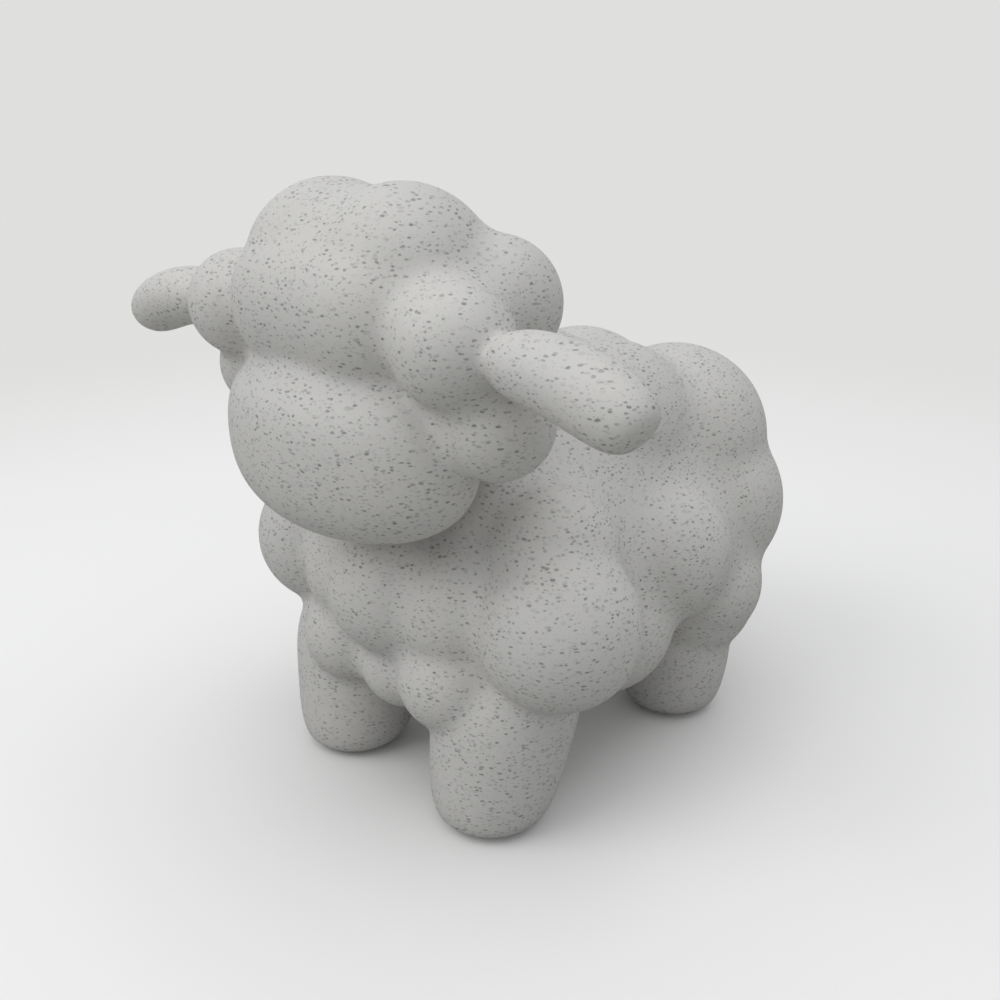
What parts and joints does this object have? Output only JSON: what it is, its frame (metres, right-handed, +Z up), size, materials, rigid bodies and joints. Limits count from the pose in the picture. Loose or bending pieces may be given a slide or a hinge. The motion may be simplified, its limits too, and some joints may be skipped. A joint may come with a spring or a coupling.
{
  "type": "sheep figurine",
  "caption": "Chubby standing sheep figurine in speckled stone-effect plastic, with puffy wool, a smooth blank face, level side ears and stubby round legs.",
  "frame": {"origin": "middle of the bounding box, on the plane of the soles", "axes": "+Z up, -Y the way the sheep faces, +X the sheep's own left"},
  "size_m": [0.1246, 0.117, 0.1159],
  "materials": {
    "speckled_wool": "matte to satin, pale warm grey with dark grey specks",
    "speckled_smooth": "satin, pale warm grey with dark grey specks",
    "plug_plastic": "plain matte grey soft plastic"
  },
  "bodies": {
    "root": {"body_fleece": "speckled_wool", "head_fleece": "speckled_wool", "tail": "speckled_wool", "face": "speckled_smooth", "left_ear": "speckled_smooth", "right_ear": "speckled_smooth", "front_left_leg": "speckled_smooth", "front_right_leg": "speckled_smooth", "rear_left_leg": "speckled_smooth", "rear_right_leg": "speckled_smooth", "belly_plug": "plug_plastic"}
  },
  "joints": []
}
